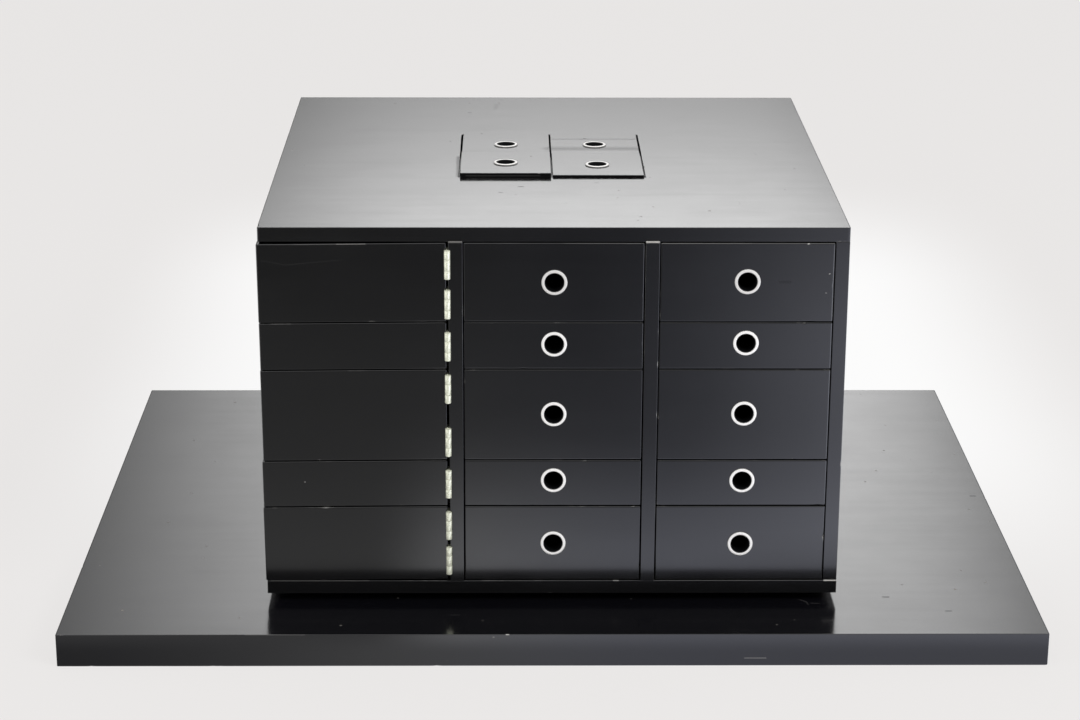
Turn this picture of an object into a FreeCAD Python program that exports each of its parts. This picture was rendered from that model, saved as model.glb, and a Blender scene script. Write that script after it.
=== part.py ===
import FreeCAD, Part
import math
import os

# Swivel tabletop cabinet in black laminated board. All sizes are in millimetres.
# X runs to the right, Y to the back and Z up. The origin is on the table, under the
# middle of the base board, and the rows are counted from the top.

# Boards
board = 14.3                # carcass boards, drawer fronts and doors, laminate included
edge_bevel = 0.4            # eased edge all round each board
top_board = 15.0            # the top is a sheet of heavier board
shelf_board = 6.0           # shelves behind the doors
shelf_groove = 4.0          # depth of the grooves that hold the shelves

# Base board
base_width = 1021.0
base_depth = 775.0
base_thickness = 35.3

# Cabinet
cabinet_width = 600.0
cabinet_depth = 600.0
row_fronts = (83.1, 49.8, 98.3, 50.0, 82.8)     # height of the fronts in each row
seam = 1.0                  # gap between two fronts, and round them
front_proud = 1.5           # fronts and bottom board stand out from the top board's edge
partition_pitch = 200.0     # between the middles of the two partitions
lipping_proud = 3.0         # strip on the front edge of each partition
lipping_lap = 0.9           # how far the strip laps over the edge of the top board

# Well in the middle of the top, with four lids
well_depth = 200.0          # between the middles of the front and back walls of the well
well_back = 4.0             # the middle of the well lies this far behind the cabinet's
well_left = 100.0           # from the cabinet's middle to the left edge of the opening
well_right = 102.3          # and to its right edge
lid_gap = 0.8               # in front of each lid and behind it
lid_rest_gap = 0.3          # between a lid and the walls that it rests on
lid_ring_back = 45.0        # from the front edge of a lid to the middle of its ring
# The lids are loose, of unequal thickness, and each has slid a little to one side.
lids_proud = {"front_left": 4.7, "back_left": 0.8, "front_right": 2.5, "back_right": 0.6}
lid_side_gaps = {"front_left": (1.3, -0.1), "back_left": (1.7, -0.2),
                 "front_right": (1.8, 1.5), "back_right": (1.6, 1.5)}
# from the edge of the opening, or the middle of the divider, at a lid's left and right

# Finger rings
ring_outer = 26.6           # diameter of the flange
ring_inner = 19.0           # diameter of the finger hole
ring_proud = 1.5            # height of the flange
ring_edge = 0.4             # height of the flange at its rims
ring_bevel = 1.3            # width of the slopes on both sides of its crown
ring_wall = 1.0             # wall of the sleeve that lines the hole
ring_fit = 0.1              # between the sleeve and the board
ring_short = 0.3            # the sleeve ends this far inside the board
ring_aside = 0.5            # to the right of the middle of the front
ring_raises = {"centre": (0.2, 1.8, 1.0, 3.3, 0.3), "right": (1.1, 3.1, 1.6, 2.9, -0.6)}
# above the middle of the front, in each row: the holes were bored by eye

# Drawer boxes and their runners
box_side = 9.0              # sides and back
box_bottom = 3.0            # bottom sheet
bottom_groove = 3.0         # depth of the groove that holds the bottom sheet
bottom_up = 3.0             # from the lower edge of a side to the bottom sheet
box_clear = 1.0             # between a side and the bay's wall
box_drop = 3.0              # from the top of a front down to the top of its box
box_back_gap = 3.0          # behind the closed box
runner_width = 9.0
runner_height = 7.0
runner_up = 1.0             # from the lower edge of a front up to its runner
running_gap = 0.3           # between a box and its runners
front_back_gap = 0.4        # between a closed front or door and what lies behind it

# Doors and their butt hinges
door_overhangs = (1.4, 0.8, 0.7, 1.4, 1.5)      # past the side of the cabinet, to pull it by
door_drop = 1.5             # the free end of each door hangs this much low
door_floor_gap = 0.4        # under the free end of the lowest door
hinge_height = 30.0
middle_knuckle = 11.6       # height of the knuckle on the door's leaf
hinge_insets = ((7.0, 4.2), None, (5.0, 5.1), None, (5.4, 7.9))
# top and bottom inset of a door's two hinges; a shallow door has one, at its middle
hinge_seam = 2.4            # gap between a door and the partition, filled by the leaves
leaf_thickness = 1.0
leaf_width = 15.0           # from the pin to the far edge of a leaf
knuckle_radius = 3.15
knuckle_gap = 0.15          # between the ends of two knuckles
knuckle_clear = 0.35        # hollow in the boards round the knuckles
pin_radius = 1.5
pin_fit = 0.05              # radial, between the pin and the knuckle that turns on it
pin_proud = 2.7             # from the face of a door out to the middle of the pin

# Turntable: two pressed plates with a ring of caged balls between them
turntable_height = 9.2
plate_side = 300.0
plate_thickness = 1.5
plate_corner = 20.0         # radius of a plate's corners
plate_hole_radius = 45.0
race_radius = 125.0
race_width = 14.0
race_gap = 1.2              # between the lower and the upper race
ball_diameter = 4.8
ball_fit = 0.05             # between a ball and the slopes of its V groove
ball_count = 12
cage_width = 10.0
cage_thickness = 0.6
cage_clear = 0.2            # between a ball and its hole in the cage

# Heights and places that follow from the sizes above
cabinet_foot = base_thickness + turntable_height
carcass_foot = cabinet_foot + board
carcass_top = carcass_foot + sum(row_fronts) + seam * (len(row_fronts) + 1)
cabinet_top = carcass_top + top_board
face = -cabinet_depth / 2                       # front edge of the top board
front_face = face - front_proud
front_back = front_face + board
behind_fronts = front_back + front_back_gap
back_inside = cabinet_depth / 2 - board
side_inside = cabinet_width / 2 - board
partition_inner = (partition_pitch - board) / 2
partition_outer = (partition_pitch + board) / 2
well_front = well_back - (well_depth + board) / 2
well_end = well_back + (well_depth + board) / 2
pin_x = -partition_outer - hinge_seam / 2
pin_y = front_face - pin_proud
door_right = -partition_outer - hinge_seam
ring_hole_radius = ring_inner / 2 + ring_wall + ring_fit

rows = []
row_top = carcass_top - seam
for height in row_fronts:
    rows.append((row_top - height, row_top))
    row_top -= height + seam

# Each column of drawers: its left and right wall, and where its bay ends at the back
drawer_columns = {
    "centre": (-partition_inner, partition_inner, well_front),
    "right": (partition_outer, side_inside, back_inside),
}


def block(x0, x1, y0, y1, z0, z1):
    """A board between two corners."""
    return Part.makeBox(x1 - x0, y1 - y0, z1 - z0, FreeCAD.Vector(x0, y0, z0))


def eased(shape):
    """The same board with every edge bevelled a little."""
    return shape.makeChamfer(edge_bevel, shape.Edges)


def upright(radius, x, y, z0, z1):
    """A round bar or hole that stands along Z."""
    return Part.makeCylinder(radius, z1 - z0, FreeCAD.Vector(x, y, z0))


def save(name, *solids):
    """Write one piece, or one group of like pieces."""
    shape = solids[0] if len(solids) == 1 else Part.makeCompound(list(solids))
    shape.exportStep(os.path.join("parts", name + ".step"))


def ring(depth):
    """A finger ring about Z with its flange on z = 0, for a board of this depth."""
    bore = ring_inner / 2
    sleeve = bore + ring_wall
    rim = ring_outer / 2
    foot = ring_short - depth
    outline = [(rim, 0), (rim, ring_edge), (rim - ring_bevel, ring_proud),
               (bore + ring_bevel, ring_proud), (bore, ring_edge), (bore, foot),
               (sleeve, foot), (sleeve, 0)]
    points = [FreeCAD.Vector(r, 0, z) for r, z in outline]
    section = Part.Face(Part.makePolygon(points + points[:1]))
    return section.revolve(FreeCAD.Vector(0, 0, 0), FreeCAD.Vector(0, 0, 1), 360)


def base_board():
    save("base_board", eased(block(
        -base_width / 2, base_width / 2, -base_depth / 2, base_depth / 2, 0, base_thickness)))


def ball_groove():
    """The square ring, stood on its corner, that the balls run in."""
    middle = base_thickness + turntable_height / 2
    reach = (ball_diameter / 2 + ball_fit) * math.sqrt(2)
    corners = [(reach, 0), (0, reach), (-reach, 0), (0, -reach), (reach, 0)]
    points = [FreeCAD.Vector(race_radius + r, 0, middle + z) for r, z in corners]
    section = Part.Face(Part.makePolygon(points))
    return section.revolve(FreeCAD.Vector(0, 0, 0), FreeCAD.Vector(0, 0, 1), 360)


def race_plate(outside, race_end):
    """One plate of the turntable, from its outside face to the end of its race."""
    up = math.copysign(1, race_end - outside)
    plate = block(-plate_side / 2, plate_side / 2, -plate_side / 2, plate_side / 2,
                  min(outside, outside + up * plate_thickness),
                  max(outside, outside + up * plate_thickness))
    plate = plate.makeFillet(plate_corner, [
        e for e in plate.Edges if abs(e.Vertexes[0].Z - e.Vertexes[-1].Z) > plate_thickness / 2])
    low = min(outside, race_end)
    high = max(outside, race_end)
    race = upright(race_radius + race_width / 2, 0, 0, low, high)
    race = race.cut(upright(race_radius - race_width / 2, 0, 0, low, high))
    plate = plate.cut(upright(plate_hole_radius, 0, 0, low, high)).fuse(race)
    return plate.cut(ball_groove()).removeSplitter()


def turntable():
    middle = base_thickness + turntable_height / 2
    save("turntable_lower_plate", race_plate(base_thickness, middle - race_gap / 2))
    save("turntable_upper_plate", race_plate(cabinet_foot, middle + race_gap / 2))
    low = middle - cage_thickness / 2
    high = middle + cage_thickness / 2
    cage = upright(race_radius + cage_width / 2, 0, 0, low, high)
    cage = cage.cut(upright(race_radius - cage_width / 2, 0, 0, low, high))
    balls = []
    for i in range(ball_count):
        turn = 2 * math.pi * i / ball_count
        x = race_radius * math.cos(turn)
        y = race_radius * math.sin(turn)
        balls.append(Part.makeSphere(ball_diameter / 2, FreeCAD.Vector(x, y, middle)))
        cage = cage.cut(upright(ball_diameter / 2 + cage_clear, x, y, low, high))
    save("turntable_balls", cage, *balls)


def shelves():
    """One shelf behind each seam between two doors, let into the side and the partition."""
    low_and_high = []
    for bottom, _ in rows[:-1]:
        middle = bottom - seam / 2
        low_and_high.append((middle - shelf_board / 2, middle + shelf_board / 2))
    return [
        block(-side_inside - shelf_groove, -partition_outer + shelf_groove,
              behind_fronts, back_inside, low, high)
        for low, high in low_and_high]


def hinge_middles(row):
    """The heights of the middles of a door's hinges."""
    bottom, top = rows[row]
    if hinge_insets[row] is None:
        return [(bottom + top) / 2]
    from_top, from_bottom = hinge_insets[row]
    return [top - from_top - hinge_height / 2, bottom + from_bottom + hinge_height / 2]


def knuckle_hollows():
    """The room that each hinge's knuckles need in the boards beside them."""
    room = hinge_height / 2 + knuckle_clear
    return [
        upright(knuckle_radius + knuckle_clear, pin_x, pin_y, middle - room, middle + room)
        for row in range(len(rows)) for middle in hinge_middles(row)]


def carcass():
    half = cabinet_width / 2
    top = block(-half, half, face, -face, carcass_top, cabinet_top)
    opening = block(-well_left, well_right,
                    well_back - well_depth / 2, well_back + well_depth / 2,
                    carcass_top, cabinet_top)
    save("top_panel", eased(top.cut(opening)))
    save("bottom_panel", eased(block(-half, half, front_face, -face, cabinet_foot, carcass_foot)))
    left = eased(block(-half, -side_inside, behind_fronts, -face, carcass_foot, carcass_top))
    right = eased(block(side_inside, half, face, -face, carcass_foot, carcass_top))
    save("side_panels", left.cut(Part.makeCompound(shelves())), right)
    save("back_panel", block(-side_inside, side_inside, back_inside, -face,
                             carcass_foot, carcass_top))


def partitions():
    """The two upright boards from front to back, each with a strip on its front edge."""
    boards = []
    strips = []
    for side in (-1, 1):
        x0 = side * partition_pitch / 2 - board / 2
        boards.append(block(x0, x0 + board, face, back_inside, carcass_foot, carcass_top))
        strips.append(eased(block(x0, x0 + board, face - lipping_proud, face,
                                  carcass_foot, carcass_top + lipping_lap)))
    hollows = Part.makeCompound(knuckle_hollows())
    boards[0] = boards[0].cut(Part.makeCompound(shelves())).cut(hollows)
    strips[0] = strips[0].cut(hollows)
    save("partitions", *boards, *strips)


def well_walls():
    """The front and back wall of the well and the board that halves it."""
    walls = [
        block(-partition_inner, partition_inner, y, y + board, carcass_foot, carcass_top)
        for y in (well_front, well_end - board)]
    divider = block(-board / 2, board / 2, well_front + board, well_end - board,
                    carcass_foot, carcass_top)
    save("well_walls", *walls, divider)


def runners():
    """A pair of hardwood strips under each drawer box."""
    strips = []
    for left, right, bay_end in drawer_columns.values():
        for bottom, _ in rows:
            low = bottom + runner_up
            for x0 in (left, right - runner_width):
                strips.append(block(x0, x0 + runner_width, behind_fronts, bay_end,
                                    low, low + runner_height))
    return strips


def pierced(front, x, z, y0, y1):
    """A front with the hole for its finger ring."""
    hole = Part.makeCylinder(ring_hole_radius, y1 - y0,
                             FreeCAD.Vector(x, y0, z), FreeCAD.Vector(0, 1, 0))
    return front.cut(hole)


def drawer(column, row):
    """The front, the box and the finger ring of one drawer."""
    left, right, bay_end = drawer_columns[column]
    bottom, top = rows[row]
    middle = (left + right) / 2 + ring_aside
    height = (bottom + top) / 2 + ring_raises[column][row]
    name = f"{column}_drawer_{row + 1}"
    front = eased(block(left + seam, right - seam, front_face, front_back, bottom, top))
    save(name + "_front", pierced(front, middle, height, front_face, front_back))

    outer_left = left + box_clear
    outer_right = right - box_clear
    box_end = bay_end - box_back_gap
    box_foot = bottom + runner_up + runner_height + running_gap
    box_top = top - box_drop
    sheet_foot = box_foot + bottom_up
    sheet_top = sheet_foot + box_bottom
    sheet = block(outer_left + box_side - bottom_groove, outer_right - box_side + bottom_groove,
                  front_back, box_end, sheet_foot, sheet_top)
    sides = [
        block(x0, x0 + box_side, front_back, box_end, box_foot, box_top).cut(sheet)
        for x0 in (outer_left, outer_right - box_side)]
    back = block(outer_left + box_side, outer_right - box_side, box_end - box_side, box_end,
                 sheet_top, box_top)
    save(name + "_box", *sides, back, sheet)

    finger_ring = ring(board)
    finger_ring.rotate(FreeCAD.Vector(0, 0, 0), FreeCAD.Vector(1, 0, 0), 90)
    finger_ring.translate(FreeCAD.Vector(middle, front_face, height))
    save(name + "_ring", finger_ring)


def knuckle_spans(middle):
    """The three knuckles of a hinge from the foot up, as lower and upper ends."""
    ends = [middle - hinge_height / 2, middle - middle_knuckle / 2,
            middle + middle_knuckle / 2, middle + hinge_height / 2]
    return list(zip(ends, ends[1:]))


def fixed_leaf(middle):
    """The leaf on the partition, with the outer two knuckles and the pin in them."""
    low, centre, high = knuckle_spans(middle)
    leaf = block(pin_x + hinge_seam / 2 - leaf_thickness, pin_x + hinge_seam / 2,
                 pin_y, pin_y + leaf_width, low[0], high[1])
    leaf = leaf.cut(upright(knuckle_radius + knuckle_clear, pin_x, pin_y,
                            centre[0] - knuckle_gap, centre[1] + knuckle_gap))
    for z0, z1 in (low, high):
        leaf = leaf.fuse(upright(knuckle_radius, pin_x, pin_y, z0, z1))
    leaf = leaf.fuse(upright(pin_radius, pin_x, pin_y, low[0], high[1]))
    return leaf.removeSplitter()


def moving_leaf(middle):
    """The leaf on the door's edge, with the middle knuckle, which turns on the pin."""
    low, centre, high = knuckle_spans(middle)
    leaf = block(pin_x - hinge_seam / 2, pin_x - hinge_seam / 2 + leaf_thickness,
                 pin_y, pin_y + leaf_width, low[0], high[1])
    for z0, z1 in (low, high):
        leaf = leaf.cut(upright(knuckle_radius + knuckle_clear, pin_x, pin_y,
                                z0 - knuckle_gap, z1 + knuckle_gap))
    knuckle = upright(knuckle_radius, pin_x, pin_y,
                      centre[0] + knuckle_gap, centre[1] - knuckle_gap)
    leaf = leaf.fuse(knuckle)
    leaf = leaf.cut(upright(pin_radius + pin_fit, pin_x, pin_y, low[0], high[1]))
    return leaf.removeSplitter()


def door(row):
    """A door whose free end has dropped, and the leaves on its hinged edge.

    The free end is square to the long edges, so it leans a little outwards."""
    bottom, top = rows[row]
    if row == len(rows) - 1:
        bottom = carcass_foot + door_drop + door_floor_gap
    left = -cabinet_width / 2 - door_overhangs[row]
    lean = door_drop * (top - bottom) / (door_right - left)
    outline = [(door_right, bottom), (door_right, top),
               (left - lean / 2, top - door_drop), (left + lean / 2, bottom - door_drop)]
    points = [FreeCAD.Vector(x, front_face, z) for x, z in outline]
    panel = Part.Face(Part.makePolygon(points + points[:1]))
    panel = eased(panel.extrude(FreeCAD.Vector(0, board, 0)))
    panel = panel.cut(Part.makeCompound(knuckle_hollows()))
    save(f"door_{row + 1}", panel)
    save(f"door_{row + 1}_hinge_leaf", *[moving_leaf(z) for z in hinge_middles(row)])


def lid_rims(end, side):
    """The left, right, front and back edge of one lid."""
    left_gap, right_gap = lid_side_gaps[f"{end}_{side}"]
    x0, x1 = (-well_left, 0) if side == "left" else (0, well_right)
    y0 = well_back - well_depth / 2 if end == "front" else well_back
    return x0 + left_gap, x1 - right_gap, y0 + lid_gap, y0 + well_depth / 2 - lid_gap / 2


def lid(end, side):
    """One lid of the well and its finger ring."""
    x0, x1, y0, y1 = lid_rims(end, side)
    x = (x0 + x1) / 2
    y = y0 + lid_ring_back
    low = carcass_top + lid_rest_gap
    high = cabinet_top + lids_proud[f"{end}_{side}"]
    panel = eased(block(x0, x1, y0, y1, low, high))
    name = f"lid_{end}_{side}"
    save(name, panel.cut(upright(ring_hole_radius, x, y, low, high)))
    finger_ring = ring(high - low)
    finger_ring.translate(FreeCAD.Vector(x, y, high))
    save(name + "_ring", finger_ring)


os.makedirs("parts", exist_ok=True)
base_board()
turntable()
carcass()
partitions()
well_walls()
save("shelves_and_runners", *shelves(), *runners())
save("hinge_fixed_leaves", *[
    fixed_leaf(middle) for row in range(len(rows)) for middle in hinge_middles(row)])
for row in range(len(rows)):
    door(row)
    for column in drawer_columns:
        drawer(column, row)
for end in ("front", "back"):
    for side in ("left", "right"):
        lid(end, side)
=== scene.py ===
import math

import bmesh
import bpy
import numpy as np
from mathutils import Matrix, Vector


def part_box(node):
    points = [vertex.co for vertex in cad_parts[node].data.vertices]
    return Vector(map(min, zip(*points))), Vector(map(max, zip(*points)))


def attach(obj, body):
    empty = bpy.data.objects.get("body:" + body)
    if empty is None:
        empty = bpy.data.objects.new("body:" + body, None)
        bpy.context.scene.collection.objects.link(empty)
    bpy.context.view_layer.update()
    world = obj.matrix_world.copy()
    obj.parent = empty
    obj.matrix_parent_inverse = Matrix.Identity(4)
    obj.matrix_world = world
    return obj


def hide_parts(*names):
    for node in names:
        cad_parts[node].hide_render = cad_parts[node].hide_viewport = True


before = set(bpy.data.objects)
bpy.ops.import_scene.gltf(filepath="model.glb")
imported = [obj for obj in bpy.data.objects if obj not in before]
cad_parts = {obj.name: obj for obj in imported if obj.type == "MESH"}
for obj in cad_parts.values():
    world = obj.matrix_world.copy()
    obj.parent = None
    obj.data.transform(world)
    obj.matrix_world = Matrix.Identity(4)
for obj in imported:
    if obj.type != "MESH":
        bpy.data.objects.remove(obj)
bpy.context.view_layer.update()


# Viewpoint. The cabinet is seen from in front with a long lens, from a little above its
# top and a little to the left of its middle.
photo_width_px = 1080
focal_length_px = 2651.8
eye_place = (-0.0464, -2.8838, 1.1541)
eye_turn = math.radians(0.722)      # to the right
eye_tilt = math.radians(18.231)     # down
eye_roll = math.radians(-0.222)     # clockwise

camera = bpy.data.objects.new("camera", bpy.data.cameras.new("camera"))
camera.data.sensor_width = 36.0
camera.data.lens = focal_length_px * camera.data.sensor_width / photo_width_px
camera.data.clip_start = 0.05
camera.data.clip_end = 60.0
camera.matrix_world = (
    Matrix.Translation(eye_place) @ Matrix.Rotation(-eye_turn, 4, "Z")
    @ Matrix.Rotation(math.pi / 2 - eye_tilt, 4, "X") @ Matrix.Rotation(-eye_roll, 4, "Z"))
bpy.context.scene.collection.objects.link(camera)
bpy.context.scene.camera = camera
bpy.context.scene.view_settings.view_transform = "Standard"


# Studio. A pale floor runs on into a pale backdrop, and two large soft lamps hang above.
# Polished surfaces show the room itself: a floor that is bright near the base and at both
# sides and dark in between, a lit band of backdrop above the horizon, and a lit ceiling.
def linear(code):
    """The linear colour and full opacity for an sRGB hex code."""
    channels = [int(code[i:i + 2], 16) / 255 for i in (1, 3, 5)]
    return tuple(c / 12.92 if c <= 0.04045 else ((c + 0.055) / 1.055) ** 2.4
                 for c in channels) + (1.0,)


def add(tree, kind, inputs=(), **settings):
    """One node with its settings. Its inputs are constants, nodes or sockets of nodes, given
    by name or in the order of its own sockets."""
    node = tree.nodes.new("ShaderNode" + kind)
    for name, value in settings.items():
        setattr(node, name, value)
    for key, value in (inputs if isinstance(inputs, dict) else dict(enumerate(inputs))).items():
        value = value.outputs[0] if isinstance(value, bpy.types.Node) else value
        if isinstance(value, bpy.types.NodeSocket):
            tree.links.new(value, node.inputs[key])
        else:
            node.inputs[key].default_value = value
    return node


def new_material(name):
    """A material with an empty tree of nodes, the tree, and the Object coordinates in it."""
    material = bpy.data.materials.new(name)
    material.use_nodes = True
    tree = material.node_tree
    tree.nodes.clear()
    return material, tree, add(tree, "TexCoord").outputs["Object"]


smooth = {"interpolation_type": "SMOOTHSTEP"}
tints = {"data_type": "RGBA"}
backdrop_grey = "#EAE8E7"
glow_white = "#FFFFFF"
glow_middle_x = 0.064               # of the white glow on the floor behind the cabinet, in metres
glow_x = (0.74, 0.40)               # from its middle, where it starts and where it is full
glow_y = (1.66, 0.98)
glow_front_y = (-0.35, 0.35)        # in front of the cabinet the floor is plain
floor_half = 30.0
# The floor in polished surfaces. Each pair is where a change starts and ends, in metres, or
# the light before and after it, where 1 is white.
tail_y, tail_light = (-1.91, -0.99), (0.085, 0.215)
near_y, near_light = (-1.0, -0.32), (0.045, 1.15)
middle_x, left_share = (-0.205, -0.085), 0.17       # the near light is weak at the left
right_x, right_light = (0.075, 0.835), 1.95
right_y, right_share = (-1.95, -1.25), 0.40         # the right light is weaker far away
right_end_y = (-0.60, -0.47)                        # and ends in front of the base
shade_y = (-0.48, -0.42)                            # close to the base the floor is even
shade_x, shade_light = (-0.55, 0.05), (0.17, 0.70)
left_x, left_light = (-0.55, -1.2), 1.0
cool_x, window_blue = (-0.25, 0.15), "#EAEDFD"      # the light from the right is cooler
floor_matt = 0.10                   # share of the floor's look that takes shadows

floor_mesh = bpy.data.meshes.new("floor")
floor_mesh.from_pydata([(-floor_half, -floor_half, 0), (floor_half, -floor_half, 0),
                        (floor_half, floor_half, 0), (-floor_half, floor_half, 0)], [],
                       [(0, 1, 2, 3)])
floor = bpy.data.objects.new("floor", floor_mesh)
bpy.context.scene.collection.objects.link(floor)

paint, tree, place = new_material("matt_floor_paint")
spot = add(tree, "SeparateXYZ", (place,)).outputs
aside = add(tree, "Math", (spot["X"], glow_middle_x), operation="SUBTRACT")
aside = add(tree, "Math", (aside,), operation="ABSOLUTE")
glow = add(tree, "MapRange", (aside, *glow_x, 0.0, 1.0), **smooth)
glow_behind = add(tree, "MapRange", (spot["Y"], *glow_y, 0.0, 1.0), **smooth)
glow = add(tree, "Math", (glow, glow_behind), operation="MULTIPLY")
glow_front = add(tree, "MapRange", (spot["Y"], *glow_front_y, 0.0, 1.0), **smooth)
glow = add(tree, "Math", (glow, glow_front), operation="MULTIPLY")
seen = add(tree, "Mix", {0: glow, 6: linear(backdrop_grey), 7: linear(glow_white)}, **tints)
seen = add(tree, "Emission", (seen.outputs[2], 1.0))
matt = add(tree, "BsdfDiffuse", (linear(backdrop_grey),))
shaded = add(tree, "MixShader", (floor_matt, seen, matt))

near = add(tree, "MapRange", (spot["Y"], *near_y, *near_light), **smooth)
middle = add(tree, "MapRange", (spot["X"], *middle_x, left_share, 1.0), **smooth)
tail = add(tree, "MapRange", (spot["Y"], *tail_y, *tail_light), **smooth)
light = add(tree, "Math", (near, middle, tail), operation="MULTIPLY_ADD")
right = add(tree, "MapRange", (spot["X"], *right_x, 0.0, right_light), **smooth)
far = add(tree, "MapRange", (spot["Y"], *right_y, right_share, 1.0), **smooth)
end = add(tree, "MapRange", (spot["Y"], *right_end_y, 1.0, 0.0), **smooth)
far = add(tree, "Math", (far, end), operation="MULTIPLY")
light = add(tree, "Math", (right, far, light), operation="MULTIPLY_ADD")
share = add(tree, "MapRange", (spot["Y"], *shade_y, 0.0, 1.0), **smooth)
shade = add(tree, "MapRange", (spot["X"], *shade_x, *shade_light), **smooth)
light = add(tree, "Mix", {0: share, 2: light, 3: shade})
left = add(tree, "MapRange", (spot["X"], *left_x, 0.0, left_light), **smooth)
light = add(tree, "Math", (light, left), operation="ADD")
cool = add(tree, "MapRange", (spot["X"], *cool_x, 0.0, 1.0), **smooth)
cool = add(tree, "Mix", {0: cool, 6: linear(glow_white), 7: linear(window_blue)}, **tints)
mirrored = add(tree, "Emission", (cool.outputs[2], light))
path = add(tree, "LightPath").outputs
polished = add(tree, "Math", (path["Is Glossy Ray"], path["Is Transmission Ray"]),
               operation="MAXIMUM")
floor_look = add(tree, "MixShader", (polished, shaded, mirrored))
add(tree, "OutputMaterial", (floor_look,))
floor_mesh.materials.append(paint)

# The lit band of backdrop by its height above the horizon, where 1 is straight up. Its middle
# and its half width change with that height, and its edges fade as exp(-(distance / half
# width) to the power band_power); at the left it fades over about twice the width.
world_light = 0.88                  # on the object itself
room_light = 0.4                    # pale walls at both sides
behind_y, behind_light = (0.5, 0.85), 0.05          # and darker ones behind and in front
front_y, front_light = (-0.75, -0.95), 0.08
band_y = (0.2, 0.7)                 # the band is only behind the cabinet
band_top = 2.3
band_stops = ((0.0, 0.25), (0.20, 0.26), (0.218, 0.41), (0.235, 0.86), (0.25, 1.09),
              (0.257, 1.25), (0.264, 2.15), (0.285, 2.3), (0.325, 1.62), (0.36, 1.89),
              (0.42, 1.58), (0.60, 0.9), (0.80, 0.2))
band_middle = (0.0155, 0.189)       # at the horizon, and how much it grows with height
band_half = (0.021, 0.230)
band_left = 0.487
band_power = 4.3
ceiling_z, ceiling_light = (0.62, 0.93), 1.1

world = bpy.data.worlds.new("studio")
world.use_nodes = True
tree = world.node_tree
tree.nodes.clear()
way = add(tree, "SeparateXYZ", (add(tree, "TexCoord").outputs["Generated"],)).outputs
band = add(tree, "ValToRGB", (way["Z"],))
while len(band.color_ramp.elements) < len(band_stops):
    band.color_ramp.elements.new(1.0)
for element, (position, level) in zip(band.color_ramp.elements, band_stops):
    element.position = position
    element.color = (*[level / band_top] * 3, 1.0)
middle = add(tree, "Math", (way["Z"], band_middle[1], band_middle[0]), operation="MULTIPLY_ADD")
half = add(tree, "Math", (way["Z"], band_half[1], band_half[0]), operation="MULTIPLY_ADD")
aside = add(tree, "Math", (way["X"], middle), operation="SUBTRACT")
left = add(tree, "Math", (aside, -band_left), operation="MULTIPLY")
aside = add(tree, "Math", (aside, left), operation="MAXIMUM")
aside = add(tree, "Math", (aside, half), operation="DIVIDE")
aside = add(tree, "Math", (aside, band_power), operation="POWER")
aside = add(tree, "Math", (aside, -1.0), operation="MULTIPLY")
patch = add(tree, "Math", (aside,), operation="EXPONENT")
behind = add(tree, "MapRange", (way["Y"], *band_y, 0.0, band_top), **smooth)
patch = add(tree, "Math", (patch, behind), operation="MULTIPLY")
room = add(tree, "MapRange", (way["Y"], *behind_y, room_light, behind_light), **smooth)
front = add(tree, "MapRange", (way["Y"], *front_y, room_light, front_light), **smooth)
room = add(tree, "Math", (room, front), operation="MINIMUM")
patch = add(tree, "Math", (patch, band, room), operation="MULTIPLY_ADD")
ceiling = add(tree, "MapRange", (way["Z"], *ceiling_z, 0.0, ceiling_light), **smooth)
patch = add(tree, "Math", (patch, ceiling), operation="ADD")
path = add(tree, "LightPath").outputs
polished = add(tree, "Math", (path["Is Glossy Ray"], path["Is Transmission Ray"]),
               operation="MAXIMUM")
ambient = add(tree, "Background", (linear(backdrop_grey), 1.0))
dim = add(tree, "Background", (linear(backdrop_grey), world_light))
reflected = add(tree, "Background", (linear(glow_white), patch))
straight = add(tree, "MixShader", (path["Is Camera Ray"], dim, ambient))
sky = add(tree, "MixShader", (polished, straight, reflected))
add(tree, "OutputWorld", (sky,))
bpy.context.scene.world = world


def soft_lamp(name, place, aim, width, height, power):
    """A rectangular lamp at a place, turned towards a point. It isn't seen or mirrored."""
    light = bpy.data.lights.new(name, "AREA")
    light.shape = "RECTANGLE"
    light.size = width
    light.size_y = height
    light.energy = power
    lamp = bpy.data.objects.new(name, light)
    lamp.location = place
    lamp.rotation_mode = "QUATERNION"
    lamp.rotation_quaternion = (Vector(aim) - Vector(place)).to_track_quat("-Z", "Y")
    lamp.visible_camera = False
    lamp.visible_glossy = False
    bpy.context.scene.collection.objects.link(lamp)


lamp_aim = (0.0, -0.2, 0.25)
soft_lamp("key_lamp", (1.5, -1.7, 1.9), lamp_aim, width=1.2, height=0.9, power=40.0)
soft_lamp("fill_lamp", (-1.9, -1.3, 1.6), lamp_aim, width=1.0, height=0.8, power=9.0)


# Base board. A plain heavy board under the turntable, faced on every side with black
# laminate that is pressed to a satin sheen, its arrises eased by hand. It has picked up
# dust, rubbed streaks and small nicks, which show where it mirrors the backdrop.
millimetre = 0.001
laminate_black = "#050506"
laminate_hazed = "#0B0B0F"          # the same under a film of dust
core_and_highlight_pale = "#CFCDC9"           # paper core, pale where an arris is rubbed through; also the colour of painted highlights
dust_grey = "#8B8780"
arris_in = 0.3                      # from a face to the middle of its arris, in millimetres


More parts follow.
